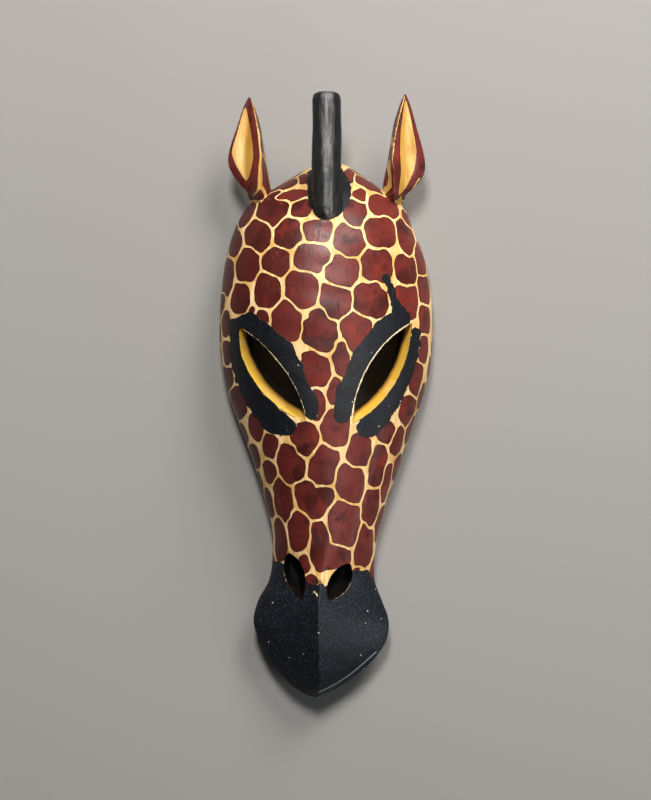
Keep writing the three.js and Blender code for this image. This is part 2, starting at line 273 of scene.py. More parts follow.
# How the spots are drawn: how square they are, a widening for each side of the face, three faint lobes, the
# hand's wavering as [wavelength, reach, seed], the coats that they are dealt into, and how wide a notch is
# and between which shares of the way out it deepens.
SPOT_SQUARENESS = 2.45
SPOT_SPREAD = {"left": 1.07, "right": 1.1}
SPOT_LOBES = 0.035
SPOT_WAVER = [[13, 0.6, 41], [5.5, 0.22, 45]]
SPOT_COATS = 6
COAT_FIELDS = ["coats_a", "coats_b"]
NOTCH_WIDTH = math.radians(16)
NOTCH_STARTS = (0.2, 0.8)

# The cream line left between spots, as half its width and the rounding of its corners, and distances past all
# that is measured, in millimetres and in pixels.
LINE_HALF = {"least": 0.42, "more": 0.6}
LINE_ROUNDING = 1.9
FAR = 30
FAR_PIXELS = 1e3

# Painted shade: the maroon is darkened down the left side, away from the light, from this far left of the
# middle to this far.
LEFT_SIDE_SHADE_SPAN = [0, 50]

# More spots on the steep walls and the end of the crown, which the photograph doesn't show. Those of the
# crown are [round from the ridge, along the crest line], in millimetres on the unrolled skin, on both sides.
WALL_SPOTS = {"from": 124, "to": -116, "spacing": 24, "below_edge": 4, "half_height": 13}
WALL_SPOT_CHANCE = {"along": [-3, 3], "half_length": [0.42, 0.5], "turn": [-0.2, 0.2]}
CROWN_END_SPOTS = {"places": [[32, 364.5], [52, 349]], "half": [12.5, 7.5], "turn": -38}

# Black brush strokes round the eyes and the horn, [x, y, half width] in pixels of the photograph.
LEFT_UPPER_BAND = [
    [249, 322, 9.5], [263, 336, 12.3], [281, 351, 12.8], [294, 371, 10.2], [298.5, 383, 8], [304, 394, 9],
    [309.5, 405, 9.6], [311, 412, 7.5],
]
LEFT_LOWER_BAND = [
    [247, 321, 7], [236, 325, 7], [234.5, 340, 5.5], [237, 357, 7], [243, 377, 8.5], [251, 393, 9.5],
    [262, 408, 11.5], [276, 422, 13], [287, 427, 9.5],
]
RIGHT_UPPER_BAND = [
    [401, 319, 10], [388, 328, 12], [376, 341, 10.3], [363, 356.5, 10.8], [355, 373.5, 9.2],
    [347, 391.5, 10.8], [344, 409, 9.8], [343, 414.5, 8.7],
]
RIGHT_LOWER_BAND = [
    [416, 331, 4.5], [415, 345, 5.5], [410.5, 362, 6.5], [402.5, 380, 8], [392, 398, 10], [380.5, 414, 11.5],
    [369, 426, 11.5], [364, 428, 8],
]
BROW_STROKE = [[385.5, 277.5, 3.2], [389.5, 286, 3.6], [392.5, 294, 3.8], [395, 303, 4.2], [399, 313, 8]]
HORN_GROUND = [
    [[328, 158, 12], [328.5, 172, 14], [330, 187, 20], [329, 200, 18.5], [326, 208, 12]],
    [[312.5, 174, 4.5], [312, 190, 5], [314, 204, 5]],
    [[346, 185, 5], [347.5, 194, 4.5], [344, 203, 4]],
]
BLACK_STROKES = [
    LEFT_UPPER_BAND, LEFT_LOWER_BAND, RIGHT_UPPER_BAND, RIGHT_LOWER_BAND, BROW_STROKE, *HORN_GROUND,
]

# The upper limit of the black muzzle, [x, y] from left to right, and the worn places between the nostrils.
MUZZLE_LIMIT = [
    [255, 560], [280, 561], [288, 566], [300, 577], [309, 583], [321, 584], [325.5, 586],
    [330, 580], [346, 567], [352, 571], [369, 570], [371, 577], [374.5, 578], [377, 569],
    [390, 566],
]
WORN_PLACES = [[[313.5, 591, 0.5], [316.5, 594, 0.9], [317.5, 597, 0.7]], [[326, 583, 0.6], [328, 586, 0.7]]]

# Painted highlight along the lit lower right edge of the muzzle, partly rubbed paint: [x, y], and its line in
# millimetres. The places down the top of the horn where rubbed paint carries a painted highlight.
LIP_HIGHLIGHT_LINE = [[319, 692], [328, 688], [338, 682.5], [350, 674.5], [358, 668], [366, 661], [376, 652]]
LIP_HIGHLIGHT_WIDTH = {"half": 0.28, "fade": 0.2}
# Painted highlight down the top of the horn, over its rubbed paint.
HORN_HIGHLIGHT_STRIPS = [
    [[327.5, 94, 5], [328, 130, 5], [326.5, 168, 3.5]],
    [[329, 184, 2.5], [329.5, 200, 3.5], [329.5, 213, 4]],
]

# Dark marks over the spots, down beside the nose's ridge and just above the muzzle.
DARK_MARKS = [[[314.5, 530, 1.5], [316, 537, 3], [318, 545, 1.5]], [[314, 581, 2], [320, 583, 2.5]]]

# The cream panels inside the ears, and the cream lines beside and behind their ridges.
LEFT_PANEL = [
    [245.2, 107], [251, 133], [253.3, 152], [252, 166], [246.5, 181], [236, 165], [231.8, 152], [236, 137],
]
RIGHT_PANEL = [
    [405.5, 99.5], [411.5, 122], [416.5, 150], [414.5, 168], [408, 184], [398.8, 195.5], [401, 172],
    [400, 152], [401, 128],
]
EAR_STROKES = [
    [
        [251.7, 100, 0.5], [254.6, 112, 0.6], [257.8, 129, 0.7], [259, 134, 1.2], [259.7, 147, 0.7],
        [261.2, 154, 1.2], [260.3, 163, 1.5], [260.2, 175, 2.1], [260, 185, 2.6], [257, 192, 0.8],
        [252, 196, 0.6],
    ],
    [[262.5, 153, 0.7], [264.5, 158.5, 0.5], [267, 166, 0.4], [268.3, 175, 0.5], [270.5, 186, 0.6]],
    [[260, 185, 2], [264, 191, 1.5], [267, 200, 1.3]],
    [[404.5, 97, 0.5], [399, 117.5, 0.5], [395.1, 137, 0.5], [393.4, 150, 0.5], [391.9, 163, 0.5]],
    [[392, 138, 1.3], [391.8, 146, 1]],
    [[389.5, 160, 0.8], [388.4, 166, 2], [390, 176, 1.3], [389.5, 186, 2.4], [383, 192, 3.2], [379, 193, 2]],
    [[401, 206, 0.9], [399.5, 199, 0.7], [402, 196, 0.5]],
    [[420.5, 176.5, 0.6], [414, 187, 0.7], [407, 198, 0.6]],
]

# Where the ear panels are darkened to gold beside the ridge as painted shade, from and to in pixels across,
# how far down in pixels the ears' own paint reaches, its tone, and how far it stays from the black in
# millimetres.
PANEL_SHADE_SPAN = {"left": [241, 247], "right": [401, 409], "margin": 1}
EAR_FOOT = 201
EAR_TONE = 0.35
EAR_CLEAR = 5

# The thin pale lines where the paint has gone from an edge of a leaf:
# [leaf, edge, first of its points, end of them, half width].
PALE_EDGES = [
    [LEFT_EYE, "inner", 2, LEAF_STEPS - 1, 0.45],
    [RIGHT_EYE, "inner", 1, LEAF_STEPS + 1, 0.95],
    [LEFT_NOSTRIL, "outer", 12, 34, 0.15],
    [RIGHT_NOSTRIL, "outer", 18, 38, 0.15],
]

# Where the pale specks of the muzzle give way to the plainer black of the bands, in metres along the mask.
SPECKS_END = [-0.09, -0.08]

# Colours as they look, red, green and blue up to 255.
FACE_CREAM = {"plain": (236, 197, 140), "dark": (214, 164, 90), "light": (250, 222, 172)}
# Painted shade: the ears' cream is a darker copy of the face's, toned down where the light falls on the ears
# more strongly.
EAR_CREAM_IN_SHADE = {"plain": (207, 166, 98), "dark": (180, 132, 54), "light": (220, 186, 124)}
MAROON = (104, 40, 34)
MAROON_DARK = (60, 23, 20)
MAROON_RED = (134, 46, 34)
SPOT_EDGE = (44, 17, 14)
BLUE_BLACK = (12, 14, 19)
SPECKS = (94, 108, 128)
# The grey of the painted highlight on the muzzle's lit edge.
LIP_HIGHLIGHT_GREY = (150, 160, 172)
# The colour of the dark marks beside the nose's ridge and above the muzzle.
DARK_MARK = (34, 32, 30)
PALE_DOTS = (214, 214, 210)
HORN_BLACK = (15, 15, 16)
# Scuffed grey, which also serves as the painted highlight down the horn's top.
HORN_SCUFF_AND_HIGHLIGHT = (150, 150, 148)
GOLD = (220, 178, 64)
GOLD_LIGHT = (238, 203, 128)
GOLD_DARK = (160, 112, 34)
NOSTRIL_BLACK = (4, 4, 4)
NOSTRIL_RED = (26, 9, 8)
# Painted shade: the hollow's dark stain is made near black, so that it reads as black shade through the
# slots.
SHADE_DARK_STAIN = (10, 7, 6)
STAIN_LIGHT = (32, 21, 15)
BARE_WOOD = (176, 134, 88)
BARE_WOOD_DARK = (128, 90, 55)
PALE_WOOD = (236, 214, 170)
FLOOR = (146, 144, 141)


def mix(low, high, share):
    return low + (high - low) * share


def ramp(value, low, high):
    return np.clip((value - low) / (high - low), 0, 1)


def smoothstep(value, low, high):
    share = ramp(value, low, high)
    return share * share * (3 - 2 * share)


def stretches(points, pull, pieces):
    """A smooth curve past a row of points, from the second up to the last but one."""
    share = np.linspace(0, 1, pieces, endpoint=False)[:, None]
    curve = []
    for before, start, end, after in zip(points, points[1:], points[2:], points[3:]):
        leave = (end - before) * pull
        arrive = (after - start) * pull
        curve.append(
            (2 * start - 2 * end + leave + arrive) * share**3
            + (3 * end - 3 * start - 2 * leave - arrive) * share**2
            + leave * share
            + start
        )
    return np.vstack(curve)


def through(rows, column=1):
    """A smooth curve through each row's first value and another one, as a function of the first."""
    points = np.array([[row[0], row[column]] for row in rows], float)
    padded = np.vstack([points[:1], points, points[-1:]])
    curve = np.vstack([stretches(padded, pull=0.5, pieces=24), points[-1:]])
    curve = curve[np.argsort(curve[:, 0])]
    return lambda along: np.interp(along, curve[:, 0], curve[:, 1])


left_edge = through(OUTLINE)
right_edge = through(OUTLINE, column=2)
crest_line = through(CREST)


def section_at(along):
    """The measures of the mask's cross-section at places along it."""
    left = left_edge(along)
    right = right_edge(along)
    muzzle = smoothstep(-along, -MUZZLE_BLEND["from"], -MUZZLE_BLEND["to"])
    edge = mix(EDGE_HEIGHT["head"], EDGE_HEIGHT["muzzle"], muzzle)
    rise = ramp(along, CROWN - CROWN_ROUNDING, CROWN)
    return SimpleNamespace(
        left=left,
        right=right,
        ridge=np.clip(muzzle * MUZZLE_RIDGE_X, left, right),
        edge=edge,
        crest=mix(edge, crest_line(along), np.sqrt(1 - rise * rise)),
        roof=muzzle * MUZZLE_ROOF,
        lean=mix(RIM_LEAN["head"], RIM_LEAN["muzzle"], muzzle),
    )


def height_at(across, section):
    """The height of the front at a place across it: an arch over the widest line, or a roof at the muzzle."""
    reach = np.minimum(np.abs(across), 1)
    rise = mix(np.sqrt(1 - reach * reach), 1 - reach, section.roof)
    return mix(section.edge, section.crest, rise)


def half_width(section, on_left):
    """From the ridge to the edge of the side asked for."""
    return np.where(on_left, section.ridge - section.left, section.right - section.ridge)


def across_at(x, section):
    """The place across the front, -1 at the left edge, 0 at the ridge and 1 at the right edge."""
    return (x - section.ridge) / np.maximum(half_width(section, x < section.ridge), TINY)


def front_height(x, along):
    """The height of the front over a place in plan."""
    section = section_at(along)
    return height_at(across_at(x, section), section)


def ripple(places, wavelength, seed, waves=7):
    """A smooth wandering between about -1 and 1 over places, the same each run."""
    random = np.random.default_rng(seed)
    total = np.zeros(places.shape[:-1])
    for _ in range(waves):
        direction = random.normal(size=places.shape[-1])
        direction *= 2 * np.pi / (wavelength * random.uniform(*WAVE_SPREAD) * np.linalg.norm(direction))
        total += np.sin(places @ direction + random.uniform(0, 2 * np.pi))
    return total / math.sqrt(waves)


def spread_along(start, end, steps):
    """Places from one end to the other, closer together towards both ends."""
    even = np.linspace(0, 1, steps + 1)
    eased = (1 - np.cos(even * np.pi)) / 2
    return mix(start, end, mix(even, eased, END_CROWDING))


def points_at(x, along, z):
    """Points from their three coordinates, each of which may be one number for all."""
    return np.stack(np.broadcast_arrays(x, along, z), axis=-1).astype(float)


# Forms, each as rings of points.

def head_rings():
    """The whole outside of the head and muzzle, with the faint waves of hand carving on its front."""
    along = spread_along(CROWN, TIP, HEAD_STEPS)[:, None]
    section = section_at(along)
    across = np.sin(np.linspace(-0.5, 0.5, FRONT_STEPS + 1) * np.pi)[None]
    x = section.ridge + across * half_width(section, across < 0)
    z = height_at(across, section)
    wave = FRONT_WAVE["depth"] * ripple(points_at(x, along, 0), FRONT_WAVE["wavelength"], seed=3)
    full_height = np.maximum(section.crest - section.edge, FRONT_WAVE["full_from"])
    calm = (1 - across**4) * (z - section.edge) / full_height
    front = points_at(x, along, z + wave * calm)

    def wall(side_x, down):
        pull = section.lean * down**2
        x, y = (mix(start, centre, pull) for start, centre in zip((side_x, along), LEAN_CENTRE))
        return points_at(x, y, section.edge * (1 - down))

    down = np.linspace(0, 1, WALL_STEPS + 1)[None, 1:]
    right_wall = wall(section.right, down)
    left_wall = wall(section.left, down[:, ::-1])
    share = np.linspace(0, 1, BACK_STEPS + 1)[None, 1:-1, None]
    back = mix(right_wall[:, -1:], left_wall[:, :1], share)
    return np.concatenate([front, right_wall, back, left_wall], axis=1)


def hollow_rings():
    """What is cut from the back: the outside moved in by the wall, with rounded ends and gouge marks."""
    end = np.cos(np.arange(1, HOLLOW_STEPS) / HOLLOW_STEPS * np.pi)[:, None]
    along = mix(HOLLOW["bottom"], HOLLOW["top"], (1 + end) / 2)
    full = (1 - np.abs(end) ** HOLLOW["squareness"]) ** (1 / HOLLOW["squareness"])
    section = section_at(along)
    angle = np.linspace(0, np.pi, HOLLOW_ARC_STEPS + 1)[None]
    across = -np.cos(angle)
    x = section.ridge + across * (half_width(section, across < 0) - WALL) * full
    z = np.maximum((section.crest - CREST_WALL) * full * np.sin(angle), 0)
    wander = ripple(points_at(x, along, z), GOUGE["wander"], seed=11)
    scoops = np.abs(np.sin(np.pi * x / GOUGE["wide"] + GOUGE["sway"] * wander))
    stagger = ripple(points_at(x, 0, z), GOUGE["stagger"], seed=12)
    start = np.sin(2 * (np.pi * along / GOUGE["long"] + stagger))
    scoops = scoops * (1 - GOUGE_START["shallower"] * (1 - start))
    marks = GOUGE["depth"] * (scoops - GOUGE_START["level"]) * np.sin(angle)
    arc = points_at(x, along, z + marks * (z > GOUGE["above"]))
    floor = arc[:, [-1, 0]].copy()
    floor[:, :, 2] = -HOLLOW["past"]
    return np.concatenate([arc, floor], axis=1)


def leaf_edge(leaf, side):
    """One edge of a leaf from tip to tip, a cubic curve with the side's two pull points."""
    start, end = leaf["tips"]
    t = np.linspace(0, 1, LEAF_STEPS + 1)[:, None]
    weights = [(1 - t) ** 3, 3 * t * (1 - t) ** 2, 3 * t**2 * (1 - t), t**3]
    return sum(weight * np.array(point) for weight, point in zip(weights, [start, *leaf[side], end]))


def leaf_outline(leaf):
    """The closed outline of a leaf: its outer edge from tip to tip and its inner edge back."""
    return np.vstack([leaf_edge(leaf, "outer")[:-1], leaf_edge(leaf, "inner")[:0:-1]])


def eye_slot_rings(eye):
    """An eye slot: the leaf outline on the curved front, carried through the wood along a leaning line."""
    x, along = leaf_outline(eye).T
    height = np.linspace(SLOT_CUTTER["above"], SLOT_CUTTER["below"], SLOT_STEPS + 1)[:, None]
    depth = front_height(x, along)[None] - height
    wave = KNIFE_WAVE["depth"] * ripple(points_at(x, along, height), KNIFE_WAVE["wavelength"], seed=21)
    lean_x, lean_along = eye["lean"]
    return points_at(x + lean_x * depth + wave, along + lean_along * depth + wave, height)


def nostril_rings(leaf):
    """A nostril: the leaf outline narrowing to a rounded floor."""
    outline = leaf_outline(leaf)
    centre = outline.mean(axis=0)
    taper = np.array(NOSTRIL_TAPER)
    down = np.linspace(taper[0, 0], taper[-1, 0], NOSTRIL_STEPS + 1)[:, None]
    size = np.interp(down, taper[:, 0], taper[:, 1])
    x, along = (mix(middle, edge[None], size) for middle, edge in zip(centre, outline.T))
    top = mix(front_height(*centre), front_height(*outline.T)[None], np.minimum(size, 1))
    return points_at(x, along + NOSTRIL_RISE * np.maximum(down, 0), top - NOSTRIL_DEPTH * down)


def facet(angle, length):
    """The reach of the flat sides of one length of the horn, as a share of the circle round it."""
    step = 2 * np.pi / HORN_FACETS[length]
    return np.cos(step / 2) / np.cos((angle + FACET_TURN[length]) % step - step / 2)


def horn_rings():
    """The horn, with two lengths of knife facets that meet in a small step."""
    profile = np.array(HORN_PROFILE)
    distance = np.concatenate([profile[:, 0], np.linspace(0, HORN_LENGTH, HORN_STEPS)])
    distance = np.unique(distance)[1:-1, None]
    share = np.interp(distance, profile[:, 0], profile[:, 1])
    angle = np.linspace(0, 2 * np.pi, HORN_SIDES, endpoint=False)[None]
    past_step = distance + HORN_STEP["wave"] * np.sin(2 * angle) - HORN_STEP["at"]
    flats = mix(facet(angle, "lower"), facet(angle, "upper"), smoothstep(past_step, 0, HORN_STEP["width"]))
    radius = HORN["radius"] * share * mix(1, flats, HORN_FACETS["flatness"])
    surface = points_at(np.cos(angle) * HORN_WAVE["round"], distance, np.sin(angle) * HORN_WAVE["round"])
    radius = radius * (1 + HORN_WAVE["share"] * ripple(surface, HORN_WAVE["wavelength"], seed=31))
    x = radius * np.cos(angle)
    z = radius * np.sin(angle)
    cosine = math.cos(HORN["tilt"])
    sine = math.sin(HORN["tilt"])
    return points_at(
        HORN["x"] + x,
        HORN["start"] + distance * cosine - z * sine,
        HORN["height"] + distance * sine + z * cosine,
    )


def ear_rings(side, name):
    """One ear, leaf-shaped in front with a scooped panel, and flat on the side that faces the horn."""
    along = spread_along(EAR_SECTIONS[0][0], EAR_TIP, EAR_STEPS)[:-1, None]
    outer, ridge, inner = (through(EAR_SECTIONS, column)(along) for column in (1, 2, 3))
    slender = ramp(along, EAR_ROOT["from"], EAR_TIP) ** EAR_TAPER
    sink = np.maximum(EAR_ROOT["from"] - along, 0) * EAR_ROOT["slope"]
    hang = EAR_DROOP[name] * smoothstep(along, EAR_DROOP["from"], EAR_DROOP["to"]) * (1 - slender)
    scoop = EAR_SCOOP["depth"] * np.sin(np.pi * ramp(along, EAR_SCOOP["from"], EAR_SCOOP["to"]))
    height = {
        part: np.maximum(mix(top, EAR_TIP_HEIGHT, slender) - sink, EAR_ROOT["lowest"])
        for part, top in EAR_HEIGHT.items()
    }
    corners = [
        (outer, height["outer"]),
        (ridge, height["ridge"]),
        (inner, height["inner"]),
        (mix(inner, ridge, EAR_BACK["inner"]), height["back"]),
        (mix(ridge, outer, EAR_BACK["middle"]), height["back"]),
        (mix(ridge, outer, EAR_BACK["outer"]), mix(height["back"], height["outer"], EAR_BACK["shoulder"])),
    ]
    ring = []
    for start, end, steps in zip(corners, corners[1:] + corners[:1], EAR_SIDE_STEPS):
        share = np.linspace(0, 1, steps, endpoint=False)[None]
        x, z = (mix(low, high, share) for low, high in zip(start, end))
        if start is corners[0]:
            z = z - scoop * np.sin(np.pi * smoothstep(share, EAR_BORDER, 1 - EAR_BORDER))
        outwards = np.clip((x - ridge) / np.maximum(outer - ridge, TINY), 0, 1)
        x = side * (x + TIP_LEAN[name]["out"] * slender)
        ring.append(points_at(x, along + TIP_LEAN[name]["up"] * slender - hang * outwards, z))
    rings = np.concatenate(ring, axis=1)
    return (np.roll(rings, 1, axis=1) + 2 * rings + np.roll(rings, -1, axis=1)) / 4


# Making and joining the solids.

def solid(name, rings, closed_ends=True):
    """An object skinned over rings of points, in millimetres, with its ends drawn together if asked."""
    if closed_ends:
        first, last = (np.broadcast_to(ring.mean(axis=0), ring.shape)[None] for ring in rings[[0, -1]])
        rings = np.concatenate([first, rings, last])
    count, around = rings.shape[:2]
    index = np.arange(count * around).reshape(count, around)
    beside = np.roll(index, -1, axis=1)
    quads = np.stack([index[:-1], beside[:-1], beside[1:], index[1:]], axis=-1).reshape(-1, 4)
    mesh = bpy.data.meshes.new(name)
    mesh.from_pydata(rings.reshape(-1, 3), [], quads.tolist())
    bm = bmesh.new()
    bm.from_mesh(mesh)
    bmesh.ops.remove_doubles(bm, verts=bm.verts, dist=SAME_PLACE)
    bmesh.ops.dissolve_degenerate(bm, edges=bm.edges, dist=NO_LENGTH)
    bmesh.ops.recalc_face_normals(bm, faces=bm.faces)
    bm.to_mesh(mesh)
    bm.free()
    body = bpy.data.objects.new(name, mesh)
    bpy.context.scene.collection.objects.link(body)
    return body


def give_region(body, region, materials):
    """All regions' materials in the same order on each solid, so that the cutting keeps each face's own."""
    for name in REGIONS:
        body.data.materials.append(materials[name])
    body.data.polygons.foreach_set("material_index", np.full(len(body.data.polygons), REGIONS.index(region)))


def join_or_cut(body, tool, operation):
    modifier = body.modifiers.new("carve", "BOOLEAN")
    modifier.operation = operation
    modifier.solver = "MANIFOLD"
    modifier.object = tool
    with bpy.context.temp_override(object=body, active_object=body):
        bpy.ops.object.modifier_apply(modifier=modifier.name)
    bpy.data.objects.remove(tool)


def carve(materials):
    """The mask as one carved solid, in millimetres."""
    body = solid("giraffe_mask", head_rings(), closed_ends=False)
    give_region(body, "face", materials)
    steps = [
        ("UNION", "horn", horn_rings()),
        ("UNION", "ear", ear_rings(-1, "left")),
        ("UNION", "ear", ear_rings(1, "right")),
        ("DIFFERENCE", "hollow", hollow_rings()),
        ("DIFFERENCE", "eye_wall", eye_slot_rings(LEFT_EYE)),
        ("DIFFERENCE", "eye_wall", eye_slot_rings(RIGHT_EYE)),
        ("DIFFERENCE", "nostril", nostril_rings(LEFT_NOSTRIL)),
        ("DIFFERENCE", "nostril", nostril_rings(RIGHT_NOSTRIL)),
    ]
    for operation, region, rings in steps:
        tool = solid(region, rings)
        give_region(tool, region, materials)
        join_or_cut(body, tool, operation)
    return body


def read(items, name, width=1, kind=np.int32):
    """One property of all of a mesh's vertices, edges, corners or faces, as an array."""
    flat = np.empty(len(items) * width, kind)
    items.foreach_get(name, flat)
    return flat.reshape(-1, width) if width > 1 else flat


def places(mesh):
    """The vertices' places as an array."""
    return read(mesh.vertices, "co", 3, np.float32).astype(float)


def vertices_of(mesh, region):
    """Which vertices belong to faces of one region."""
    faces = read(mesh.polygons, "material_index") == REGIONS.index(region)
    corners = np.repeat(faces, read(mesh.polygons, "loop_total"))
    found = np.zeros(len(mesh.vertices), bool)
    found[read(mesh.loops, "vertex_index")[corners]] = True
    return found


def mark_rim(body):
    """The flat back of the head becomes the bare rim."""
    faces = body.data.polygons
    regions = read(faces, "material_index")
    flat = read(faces, "center", 3, np.float32)[:, 2] < RIM_LEVEL
    regions[flat & (regions == REGIONS.index("face"))] = REGIONS.index("rim")
    faces.foreach_set("material_index", regions)


def smooth_places(mesh, strength, passes):
    """Draws vertices towards the middle of their near neighbours, each by its own strength."""
    points = places(mesh)
    ends = read(mesh.edges, "vertices", 2)
    lengths = np.linalg.norm(points[ends[:, 0]] - points[ends[:, 1]], axis=1)
    ends = ends[lengths < WEAR["reach"]]
    neighbours = np.bincount(ends.ravel(), minlength=len(points))
    share = np.where(neighbours > 2, strength, 0)[:, None]
    for _ in range(passes):
        total = np.zeros_like(points)
        np.add.at(total, ends[:, 0], points[ends[:, 1]])
        np.add.at(total, ends[:, 1], points[ends[:, 0]])
        points = mix(points, total / np.maximum(neighbours, 1)[:, None], share)
    mesh.vertices.foreach_set("co", points.astype(np.float32).ravel())


def fill_joints(body):
    """Rounds the inner corners where the horn and the ears grow out of the head."""
    mesh = body.data
    for region, joint in JOINTS.items():
        points = places(mesh)
        seam = points[vertices_of(mesh, region) & vertices_of(mesh, "face")]
        tree = KDTree(len(seam))
        for index, place in enumerate(seam):
            tree.insert(place, index)
        tree.balance()
        distance = np.array([tree.find(place)[2] for place in points])
        near = 1 - smoothstep(distance, 0, joint["reach"])
        smooth_places(mesh, JOINT_STRENGTH * near, joint["passes"])


def wear_edges(body):
    """Rounds the sharp edges a little, as a knife, sandpaper and paint leave them."""
    bm = bmesh.new()
    bm.from_mesh(body.data)
    strength = np.zeros(len(bm.verts))
    for edge in bm.edges:
        if len(edge.link_faces) == 2 and edge.calc_face_angle(0) > WEAR["angle"]:
            for vertex in edge.verts:
                strength[vertex.index] = WEAR["strength"]
    bm.free()
    smooth_places(body.data, strength, WEAR["passes"])


# Laying out the paint.

def photo_place(points):
    """Where the photograph's camera sees each point, in pixels."""
    scale = (CAMERA["height"] - PHOTO_PLANE) / (CAMERA["height"] - points[..., 2]) / MM_PER_PIXEL
    u = PHOTO["width"] / 2 + (points[..., 0] - CAMERA["x"]) * scale
    v = PHOTO["height"] / 2 - (points[..., 1] - CAMERA["along"]) * scale
    return u, v


def front_point(u, v):
    """The point of the front that the photograph's camera sees at a pixel, kept inside the outline."""
    z = FIRST_HEIGHT
    for _ in range(TRIES):
        scale = (CAMERA["height"] - z) / (CAMERA["height"] - PHOTO_PLANE) * MM_PER_PIXEL
        along = float(np.clip(CAMERA["along"] - (v - PHOTO["height"] / 2) * scale, TIP, CROWN))
        section = section_at(along)
        x = float(np.clip(CAMERA["x"] + (u - PHOTO["width"] / 2) * scale, section.left, section.right))
        z = float(front_height(x, along))
    return np.array([x, along, z])


CREST_PLACES = np.linspace(TIP, CROWN, CREST_STEPS)
CREST_STRIDES = np.hypot(np.diff(CREST_PLACES), np.diff(section_at(CREST_PLACES).crest))
CREST_LENGTHS = np.concatenate([[0], np.cumsum(CREST_STRIDES)])


def unrolled(points):
    """Places on the unrolled skin: how far round from the ridge, and how far along the crest line."""
    x, along, z = np.moveaxis(points, -1, 0)
    section = section_at(along)
    across = np.clip(across_at(x, section), -1, 1)
    half = half_width(section, across < 0)
    angle = np.arcsin(np.abs(across))
    round_about = np.maximum(section.edge - z, 0)
    last_x = 0
    last_z = section.crest
    for step in range(1, UNROLLING_STEPS + 1):
        reach = np.sin(angle * step / UNROLLING_STEPS)
        height = height_at(reach, section)
        round_about = round_about + np.hypot(half * reach - last_x, height - last_z)
        last_x = half * reach
        last_z = height
    return np.stack([np.sign(across) * round_about, np.interp(along, CREST_PLACES, CREST_LENGTHS)], axis=-1)


def plain_spot(centre, half, turn, lobe, notches=()):
    """A spot on the unrolled skin: its middle, its half sizes, its turn and where its lobes start."""
    return SimpleNamespace(centre=centre, half=half, turn=turn, lobe=lobe, notches=notches, joined=[])


def spot_from_photo(row):
    """A spot on the unrolled skin, from its row of pixels."""
    x, y, width, height, turn, *notches = row
    ends = [(x - width / 2, y), (x + width / 2, y), (x, y - height / 2), (x, y + height / 2)]
    left, right, top, bottom = unrolled(np.array([front_point(*end) for end in ends]))
    spread = SPOT_SPREAD["left" if x < PHOTO["width"] / 2 else "right"]
    centre = np.array([left[0] + right[0], top[1] + bottom[1]]) / 2
    half = np.array([right[0] - left[0], top[1] - bottom[1]]) / 2 * spread
    return plain_spot(centre, half, math.radians(turn), x + y, notches)


def joined_spot(rows):
    """A spot of an irregular shape, made of several that run together."""
    spot, *others = [spot_from_photo(row) for row in rows]
    spot.joined = others
    return spot


def wall_spots():
    """Spots along both steep walls, half under the edge, and round the end of the crown."""
    random = np.random.default_rng(5)
    start, end, spacing = (WALL_SPOTS[name] for name in ("from", "to", "spacing"))
    count = round((start - end) / spacing)
    spots = []
    for side in (-1, 1):
        for index in range(count + 1):
            along = mix(start, end, index / count) + random.uniform(*WALL_SPOT_CHANCE["along"])
            section = section_at(along)
            edge = [section.left if side < 0 else section.right, along, section.edge]
            place = unrolled(np.array(edge, float))
            place[0] += side * WALL_SPOTS["below_edge"]
            half_length = spacing * random.uniform(*WALL_SPOT_CHANCE["half_length"])
            half = np.array([WALL_SPOTS["half_height"], half_length])
            spots.append(plain_spot(place, half, random.uniform(*WALL_SPOT_CHANCE["turn"]), along))
        turn = side * math.radians(CROWN_END_SPOTS["turn"])
        for round_about, lengthwise in CROWN_END_SPOTS["places"]:
            centre = np.array([side * round_about, lengthwise])
            spots.append(plain_spot(centre, np.array(CROWN_END_SPOTS["half"]), turn, lengthwise))
    return spots


def spot_depth(skin, spot):
    """How deep each place lies inside one spot's outline, negative outside it."""
    offset = skin - spot.centre
    cosine = math.cos(spot.turn)
    sine = math.sin(spot.turn)
    turned = offset @ np.array([[cosine, -sine], [sine, cosine]])
    share = (np.abs(turned / spot.half) ** SPOT_SQUARENESS).sum(axis=1) ** (1 / SPOT_SQUARENESS)
    bearing = np.arctan2(offset[:, 0], offset[:, 1])
    share = share * (1 + SPOT_LOBES * np.sin(3 * bearing + spot.lobe))
    for direction, depth in zip(spot.notches[::2], spot.notches[1::2]):
        away = (bearing - math.radians(direction) + np.pi) % (2 * np.pi) - np.pi
        share = share * (1 + depth * np.exp(-((away / NOTCH_WIDTH) ** 2)) * smoothstep(share, *NOTCH_STARTS))
    reach = np.hypot(*turned.T)
    depth = reach / np.maximum(share, TINY) - reach
    return np.max([depth] + [spot_depth(skin, other) for other in spot.joined], axis=0)


def apart(spot, other):
    """The gap between two spots' middles, as a share of their sizes together."""
    return np.linalg.norm((spot.centre - other.centre) / (spot.half + other.half))


def deal_out(spots):
    """The spots in coats. Neighbours never share one, so each coat's distance is smooth over the lines."""
    coats = [[] for _ in range(SPOT_COATS)]
    for spot in spots:
        room = [min((apart(spot, other) for other in coat), default=FAR) for coat in coats]
        coats[int(np.argmax(room))].append(spot)
    return coats


